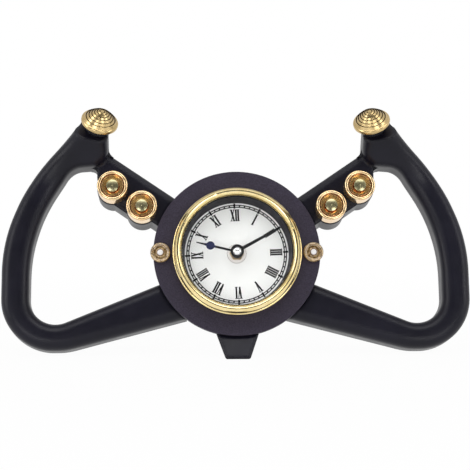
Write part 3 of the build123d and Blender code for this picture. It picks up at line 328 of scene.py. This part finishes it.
def satin_black():
    """Satin black paint on a casting: fine orange peel and edges rubbed a little paler."""
    material, tree, shader = new_material("satin_black")
    rounded = rounded_edges(tree, CASTING_EDGE)
    base = mottled(tree, noise(tree, cells=28.0), (0.0042, 0.004, 0.009), (0.0086, 0.008, 0.0165))
    worn = on_edges(tree, rounded, base, (0.02, 0.021, 0.026), share=0.3)
    tree.links.new(worn, shader.inputs["Base Color"])
    uneven_gloss(tree, shader, cells=90.0, low=0.3, high=0.38)
    relief(tree, shader, rounded, noise(tree, cells=650.0, detail=2.0), CASTING_PEEL, strength=0.5)
    shader.inputs["Specular IOR Level"].default_value = 0.25
    return material


def grained_black():
    """The grained black plate: matte, with a violet cast and a fine even grain."""
    material, tree, shader = new_material("grained_black")
    rounded = rounded_edges(tree, PLATE_EDGE)
    grain = noise(tree, cells=1100.0, detail=3.0)
    base = mottled(tree, grain, (0.022, 0.0175, 0.03), (0.043, 0.035, 0.059))
    worn = on_edges(tree, rounded, base, (0.05, 0.045, 0.06), share=0.4)
    tree.links.new(worn, shader.inputs["Base Color"])
    uneven_gloss(tree, shader, cells=140.0, low=0.5, high=0.62)
    relief(tree, shader, rounded, grain, PLATE_GRAIN, strength=0.7)
    shader.inputs["Specular IOR Level"].default_value = 0.25
    return material


def brass(name, bright, dull, groove_dark, reach, roughness, metallic=1.0):
    """Polished brass: soft tarnish, a fine lathe grain and a brown darkening in and near the grooves, which
    on the cups and domes is painted shade.
    """
    material, tree, shader = new_material(name)
    shader.inputs["Metallic"].default_value = metallic
    tarnished = mottled(tree, noise(tree, cells=120.0), bright, dull)
    tree.links.new(in_grooves(tree, reach, tarnished, groove_dark), shader.inputs["Base Color"])
    uneven_gloss(tree, shader, cells=260.0, low=roughness * 0.8, high=roughness * 1.35)
    scratches = noise(tree, cells=900.0, detail=3.0)
    relief(tree, shader, rounded_edges(tree, SMALL_EDGE), scratches, BRASS_SCRATCH, strength=0.35)
    return material


def screw_with_painted_highlights():
    """Blotched brown brass, with a pale painted highlight on the rim and a bright painted highlight on the
    boss in the middle.
    """
    material, tree, shader = new_material("screw_brass")
    rounded = rounded_edges(tree, SCREW_EDGE)
    blotches = spread(tree, noise(tree, cells=620.0, detail=2.0), 0.0, 1.0, start=0.4, end=0.6)
    face = mixed(tree, blotches, (0.2, 0.105, 0.035), (0.62, 0.42, 0.19))
    # Pale painted highlight on the rim
    rim_painted_highlight = on_edges(tree, rounded, face, (1.0, 0.93, 0.78))
    middle = front_middle("side_screw_right")
    dark_ring = near(tree, middle, BOSS_RING, BOSS_RING_BORDER, mirrored=True)
    ringed = mixed(tree, dark_ring, rim_painted_highlight, (0.12, 0.06, 0.025))
    # Bright painted highlight on the boss, which is also made rougher and less metallic there
    boss_painted_highlight = near(tree, middle, BOSS, BOSS_BORDER, mirrored=True)
    tree.links.new(mixed(tree, boss_painted_highlight, ringed, (0.86, 0.84, 0.85)), shader.inputs["Base Color"])
    tree.links.new(spread(tree, boss_painted_highlight, 0.28, 0.5, start=0.0, end=1.0), shader.inputs["Roughness"])
    tree.links.new(spread(tree, boss_painted_highlight, 0.75, 0.1, start=0.0, end=1.0), shader.inputs["Metallic"])
    relief(tree, shader, rounded, blotches, SCREW_PITS, strength=0.6)
    return material


def outlined_washer():
    """Pale nickel washer with a thin brown line round its edge."""
    material, tree, shader = new_material("washer_nickel")
    pale = mottled(tree, noise(tree, cells=90.0), (0.86, 0.83, 0.81), (0.93, 0.9, 0.89))
    lined = on_edges(tree, rounded_edges(tree, WASHER_EDGE), pale, (0.07, 0.03, 0.025))
    tree.links.new(lined, shader.inputs["Base Color"])
    uneven_gloss(tree, shader, cells=210.0, low=0.4, high=0.5)
    return material


def clear_glass():
    """A flat lens that lets lamp light through to the dial."""
    material, tree, shader = new_material("clear_glass")
    shader.inputs["Base Color"].default_value = (0.985, 0.995, 0.99, 1)
    shader.inputs["Transmission Weight"].default_value = 1.0
    shader.inputs["Roughness"].default_value = 0.0
    shader.inputs["IOR"].default_value = 1.48
    open_way = tree.nodes.new("ShaderNodeBsdfTransparent").outputs["BSDF"]
    show(tree, chosen(tree, ray_kinds(tree, "Is Shadow Ray"), shader.outputs["BSDF"], open_way))
    return material


def eye_painted_sheen():
    """A black hand with blue painted on its eye as the sheen of blued steel. The blue ends round the eye's
    centre.
    """
    material, tree, shader = new_material("hand_painted_sheen")
    turn = math.radians(HOUR_ANGLE)
    across, up = HOUR_EYE_REACH * math.sin(turn), HOUR_EYE_REACH * math.cos(turn)
    eye = place(across, depths("hour_hand")[0], up)
    eye_sheen_mask = near(tree, eye, HOUR_EYE_SHEEN, HOUR_EYE_SHEEN * HOUR_EYE_FADE_SHARE)
    steel = mottled(tree, noise(tree, cells=160.0), (0.01, 0.013, 0.045), (0.016, 0.02, 0.07))
    # Painted sheen: the blued steel's blue on the eye, black elsewhere on the hand
    tree.links.new(mixed(tree, eye_sheen_mask, (0.006, 0.006, 0.009), steel), shader.inputs["Base Color"])
    uneven_gloss(tree, shader, cells=210.0, low=0.26, high=0.34)
    shader.inputs["Specular IOR Level"].default_value = 0.2
    return material


def plain(name, dark, light, roughness, metallic=0.0, specular=0.5, grain=420.0, height=PLAIN_GRAIN):
    """Paint, plastic or plated metal with slight mottling and a fine surface."""
    material, tree, shader = new_material(name)
    shader.inputs["Metallic"].default_value = metallic
    shader.inputs["Specular IOR Level"].default_value = specular
    tree.links.new(mottled(tree, noise(tree, cells=75.0), dark, light), shader.inputs["Base Color"])
    uneven_gloss(tree, shader, cells=210.0, low=roughness * 0.85, high=roughness * 1.15)
    relief(tree, shader, rounded_edges(tree, SMALL_EDGE), noise(tree, grain), height, strength=0.5)
    return material


casting = satin_black()
plate = grained_black()
bezel_brass = brass(
    "bezel_brass",
    bright=(0.99, 0.84, 0.47),
    dull=(0.86, 0.68, 0.31),
    groove_dark=(0.14, 0.085, 0.02),
    reach=BEZEL_GROOVE_REACH,
    roughness=0.12,
)
button_brass = brass(
    "button_brass",
    bright=(0.99, 0.76, 0.45),
    dull=(0.95, 0.64, 0.33),
    # Orange-brown painted shade in the cup's groove, for the shadow of the rim's inner wall
    groove_dark=(0.48, 0.18, 0.05),
    reach=CUP_PAINTED_SHADE_REACH,
    roughness=0.14,
    metallic=0.88,
)
dome_brass = brass(
    "dome_brass",
    bright=(0.5, 0.45, 0.27),
    dull=(0.33, 0.31, 0.16),
    # Red-brown painted shade round the foot of the dome
    groove_dark=(0.35, 0.1, 0.03),
    reach=DOME_PAINTED_SHADE_REACH,
    roughness=0.22,
    metallic=0.9,
)
finial_brass = brass(
    "finial_brass",
    bright=(0.7, 0.53, 0.27),
    dull=(0.56, 0.41, 0.19),
    groove_dark=(0.03, 0.015, 0.006),
    reach=FINIAL_GROOVE_REACH,
    roughness=0.26,
)
nut_brass = brass(
    "nut_brass",
    bright=(0.78, 0.6, 0.36),
    dull=(0.6, 0.44, 0.24),
    groove_dark=(0.14, 0.08, 0.03),
    reach=NUT_GROOVE_REACH,
    roughness=0.3,
)
screw_brass = screw_with_painted_highlights()
washer_nickel = outlined_washer()
lens = clear_glass()
hand_eye_sheen = eye_painted_sheen()
dial_paint = plain(
    "dial_paint", (0.93, 0.925, 0.91), (0.95, 0.945, 0.935), roughness=0.5, grain=1500.0, height=DIAL_GRAIN
)
dial_ink = plain("dial_ink", (0.005, 0.005, 0.006), (0.009, 0.009, 0.01), roughness=0.5, specular=0.1)
tube_paint = plain("tube_paint", (0.008, 0.007, 0.011), (0.014, 0.012, 0.018), roughness=0.5, specular=0.12)
hand_black = plain("hand_black", (0.005, 0.005, 0.006), (0.009, 0.009, 0.01), roughness=0.35, specular=0.15)
silver = plain("silver", (0.86, 0.85, 0.86), (0.95, 0.94, 0.95), roughness=0.24, metallic=1.0)
zinc = plain("zinc", (0.55, 0.55, 0.57), (0.68, 0.68, 0.7), roughness=0.3, metallic=1.0)
moulding = plain(
    "moulding", (0.02, 0.02, 0.021), (0.03, 0.03, 0.032), roughness=0.5, grain=900.0, height=MOULDING_GRAIN
)
gear_plastic = plain("gear_plastic", (0.78, 0.76, 0.7), (0.86, 0.84, 0.78), roughness=0.4)
board_green = plain("board_green", (0.02, 0.14, 0.06), (0.03, 0.19, 0.08), roughness=0.35)
copper = plain("copper", (0.5, 0.2, 0.08), (0.66, 0.3, 0.13), roughness=0.3, metallic=1.0)
cell_sleeve = plain("cell_sleeve", (0.05, 0.05, 0.055), (0.08, 0.08, 0.085), roughness=0.25)
rubber = plain("rubber", (0.02, 0.02, 0.02), (0.03, 0.03, 0.03), roughness=0.8)

FINISHES = {
    casting: ("hub_housing", "rear_cover", "wing_left", "wing_right", "collar_left", "collar_right", "foot"),
    plate: ("front_ring",),
    bezel_brass: ("bezel_ring",),
    finial_brass: ("finial_left", "finial_right"),
    screw_brass: ("side_screw_left", "side_screw_right"),
    nut_brass: ("mounting_nut",),
    button_brass: tuple(node for node in nodes if node.startswith("button_cup")),
    dome_brass: tuple(node for node in nodes if node.startswith("button_dome")),
    lens: ("glass_lens",),
    tube_paint: ("dial_spacer",),
    dial_paint: ("dial_plate",),
    hand_black: ("minute_hand",),
    hand_eye_sheen: ("hour_hand",),
    silver: ("hand_cap_nut",),
    washer_nickel: ("mounting_washer",),
    zinc: ("rear_cover_screws", "wing_bolts", "foot_screws", "battery_contacts", "minute_arbor"),
    moulding: ("movement_case", "movement_cover", "setting_knob"),
    gear_plastic: ("gear_bridge", "minute_wheel", "hour_wheel", "setting_arbor"),
    board_green: ("circuit_board",),
    copper: ("drive_coil",),
    cell_sleeve: ("battery_cell",),
    rubber: ("dial_gasket",),
}
for material, names in FINISHES.items():
    for name in names:
        nodes[name].data.materials.clear()
        nodes[name].data.materials.append(material)


# Dial print, a thin raised film of ink on the dial


DIAL_FRONT = depths("dial_plate")[0]
INK_FRONT = DIAL_FRONT - INK_THICKNESS


def print_piece(name, draw):
    """A piece of ink on the dial. It belongs to the case."""
    mesh = bpy.data.meshes.new(name)
    shape = bmesh.new()
    draw(shape)
    bmesh.ops.recalc_face_normals(shape, faces=shape.faces)
    shape.to_mesh(mesh)
    shape.free()
    mesh.materials.append(dial_ink)
    piece = bpy.data.objects.new(name, mesh)
    bpy.context.scene.collection.objects.link(piece)
    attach(piece, "case")


def around(x, radius, angle):
    """A point at this radius and offset, turned clockwise from twelve by an angle in degrees."""
    turn = math.radians(angle - PRINT_TURN)
    return (
        x * math.cos(turn) + radius * math.sin(turn),
        radius * math.cos(turn) - x * math.sin(turn),
    )


def ink_bar(shape, corners, angle):
    """A closed film of ink over an outline given by offset and radius, turned to its place."""
    outline = [around(x, radius, angle) for x, radius in corners]
    front = [shape.verts.new(place(x, INK_FRONT, up)) for x, up in outline]
    back = [shape.verts.new(place(x, DIAL_FRONT, up)) for x, up in outline]
    shape.faces.new(front)
    shape.faces.new(back)
    for index, vertex in enumerate(front):
        after = (index + 1) % len(front)
        shape.faces.new((vertex, front[after], back[after], back[index]))


def ink_ring(shape, inner, outer):
    """A closed ring of ink."""
    rings = []
    for radius, depth in ((inner, INK_FRONT), (outer, INK_FRONT), (outer, DIAL_FRONT), (inner, DIAL_FRONT)):
        ring = []
        for index in range(TRACK_STEPS):
            angle = math.tau * index / TRACK_STEPS
            ring.append(shape.verts.new(place(radius * math.cos(angle), depth, radius * math.sin(angle))))
        rings.append(ring)
    for here, there in zip(rings, rings[1:] + rings[:1]):
        for index in range(TRACK_STEPS):
            after = (index + 1) % TRACK_STEPS
            shape.faces.new((here[index], here[after], there[after], there[index]))


def minute_track(shape):
    """Two fine rings with a tick for each minute and a longer one for each hour."""
    ink_ring(shape, TRACK_INNER, TRACK_INNER + TRACK_LINE)
    ink_ring(shape, TRACK_OUTER - TRACK_LINE, TRACK_OUTER)
    for minute in range(MINUTES):
        on_hour = minute % HOUR_TICK_EVERY == 0
        half = (HOUR_TICK_WIDTH if on_hour else TICK_WIDTH) / 2
        inner = HOUR_TICK_INNER if on_hour else TRACK_INNER
        outer = HOUR_TICK_OUTER if on_hour else TRACK_OUTER
        corners = [(-half, inner), (half, inner), (half, outer), (-half, outer)]
        ink_bar(shape, corners, minute * FULL_TURN / MINUTES)


def stroke(bottom, top, width):
    """A slanted or upright stroke from its middles at foot and head, over the numeral's whole height."""
    low, high = NUMERAL_INNER, NUMERAL_OUTER
    half = width / 2
    return [(bottom - half, low), (bottom + half, low), (top + half, high), (top - half, high)]


def serif(middle, half, at_top):
    """A flat bar across the head or the foot of a stroke."""
    low = NUMERAL_OUTER - SERIF_HEIGHT if at_top else NUMERAL_INNER
    high = low + SERIF_HEIGHT
    return [(middle - half, low), (middle + half, low), (middle + half, high), (middle - half, high)]


def letter(kind, middle, squeeze):
    """The strokes and serifs of one letter of a numeral."""
    thick = THICK_STROKE * squeeze
    wide = thick / 2 + SERIF_REACH * squeeze
    if kind == "I":
        return [stroke(middle, middle, thick), serif(middle, wide, True), serif(middle, wide, False)]
    narrow = wide * THIN_SERIF_SHARE
    arm = (LETTER_WIDTH[kind] * squeeze - thick) / 2
    left, right = middle - arm, middle + arm
    heads = [serif(left, wide, True), serif(right, narrow, True)]
    if kind == "V":
        return [stroke(middle, left, thick), stroke(middle, right, THIN_STROKE), *heads]
    feet = [serif(left, narrow, False), serif(right, wide, False)]
    return [stroke(right, left, thick), stroke(left, right, THIN_STROKE), *heads, *feet]


def numerals(shape):
    """The twelve numerals, upright along their radius. Long ones are squeezed to the widest that fits."""
    for hour, word in enumerate(HOURS):
        width = sum(LETTER_WIDTH[kind] for kind in word)
        squeeze = min(1.0, NUMERAL_WIDEST / width)
        middle = -width * squeeze / 2
        for kind in word:
            advance = LETTER_WIDTH[kind] * squeeze
            for corners in letter(kind, middle + advance / 2, squeeze):
                ink_bar(shape, corners, hour * FULL_TURN / len(HOURS))
            middle += advance


print_piece("dial_track", minute_track)
print_piece("dial_numerals", numerals)


# Stage


def floor():
    """White where it is seen, straight or in metal and glass, with the clock's faint shadow kept."""
    mesh = bpy.data.meshes.new("floor")
    corners = [(x * FLOOR_REACH, y * FLOOR_REACH, 0) for x, y in ((-1, -1), (1, -1), (1, 1), (-1, 1))]
    mesh.from_pydata(corners, [], [(0, 1, 2, 3)])
    piece = bpy.data.objects.new("floor", mesh)
    bpy.context.scene.collection.objects.link(piece)
    material, tree, shader = new_material("floor_white")
    shader.inputs["Base Color"].default_value = (FLOOR_TONE, FLOOR_TONE, FLOOR_TONE, 1)
    shader.inputs["Roughness"].default_value = 0.9
    shader.inputs["Specular IOR Level"].default_value = 0.0
    glow = tree.nodes.new("ShaderNodeEmission")
    glow.inputs["Color"].default_value = (1, 1, 1, 1)
    length = tree.nodes.new("ShaderNodeVectorMath")
    length.operation = "LENGTH"
    tree.links.new(own_place(tree), length.inputs[0])
    fade = spread(tree, length.outputs["Value"], SHADOW_WHITE, 1.0, start=SHADOW_NEAR, end=SHADOW_FAR)
    seen = tree.nodes.new("ShaderNodeMath")
    seen.operation = "MULTIPLY"
    tree.links.new(ray_kinds(tree, "Is Camera Ray", "Is Glossy Ray", "Is Transmission Ray"), seen.inputs[0])
    tree.links.new(fade, seen.inputs[1])
    show(tree, chosen(tree, seen.outputs["Value"], shader.outputs["BSDF"], glow.outputs["Emission"]))
    mesh.materials.append(material)


def surround(tree, room, backdrop, rise):
    """World light that rises smoothly from the room in front of the clock to the backdrop behind it."""
    coordinates = tree.nodes.new("ShaderNodeTexCoord")
    parts = tree.nodes.new("ShaderNodeSeparateXYZ")
    tree.links.new(coordinates.outputs["Generated"], parts.inputs["Vector"])
    strength = tree.nodes.new("ShaderNodeMapRange")
    strength.interpolation_type = "SMOOTHSTEP"
    strength.inputs["From Min"].default_value, strength.inputs["From Max"].default_value = rise
    strength.inputs["To Min"].default_value = room
    strength.inputs["To Max"].default_value = backdrop
    tree.links.new(parts.outputs["Y"], strength.inputs["Value"])
    background = tree.nodes.new("ShaderNodeBackground")
    tree.links.new(strength.outputs["Result"], background.inputs["Strength"])
    return background.outputs["Background"]


def studio():
    """A white backdrop, also in metal and glass, that dims towards the room in front of the clock."""
    world = bpy.data.worlds.new("studio")
    bpy.context.scene.world = world
    world.use_nodes = True
    tree = world.node_tree
    tree.nodes.clear()
    output = tree.nodes.new("ShaderNodeOutputWorld")
    white = tree.nodes.new("ShaderNodeBackground")
    white.inputs["Color"].default_value = (1, 1, 1, 1)
    light = surround(tree, ROOM_LIGHT, BACKDROP_LIGHT, LIGHT_RISE)
    mirrored = surround(tree, ROOM_REFLECTED, BACKDROP_SEEN, SEEN_RISE)
    through_glass = surround(tree, ROOM_THROUGH_GLASS, BACKDROP_SEEN, SEEN_RISE)
    light = chosen(tree, ray_kinds(tree, "Is Glossy Ray"), light, mirrored)
    light = chosen(tree, ray_kinds(tree, "Is Transmission Ray"), light, through_glass)
    light = chosen(tree, ray_kinds(tree, "Is Camera Ray"), light, white.outputs["Background"])
    tree.links.new(light, output.inputs["Surface"])


def softbox(name, location, size, power):
    """A rectangular lamp that faces the hub."""
    data = bpy.data.lights.new(name, "AREA")
    data.shape = "RECTANGLE"
    data.size, data.size_y = size
    data.energy = power
    lamp = bpy.data.objects.new(name, data)
    lamp.location = location
    lamp.rotation_euler = (HUB - Vector(location)).to_track_quat("-Z", "Y").to_euler()
    bpy.context.scene.collection.objects.link(lamp)


def camera():
    """The photograph's view."""
    data = bpy.data.cameras.new("camera")
    data.sensor_width = CAMERA_SENSOR
    data.lens = CAMERA_LENS
    eye = bpy.data.objects.new("camera", data)
    tilt = math.radians(CAMERA_ELEVATION)
    turn = math.radians(CAMERA_TURN)
    aim = Euler((math.radians(90) - tilt, 0, -turn)).to_quaternion()
    offset = Vector((-CAMERA_SHIFT_LEFT, CAMERA_RISE, CAMERA_DISTANCE))
    eye.location = HUB + aim @ offset
    eye.rotation_mode = "QUATERNION"
    eye.rotation_quaternion = aim @ Quaternion((0, 0, 1), math.radians(CAMERA_ROLL))
    bpy.context.scene.collection.objects.link(eye)
    bpy.context.scene.camera = eye


floor()
studio()
for name, (location, size, power) in LAMPS.items():
    softbox(name, location, size, power)
camera()
bpy.context.scene.view_settings.view_transform = "Standard"
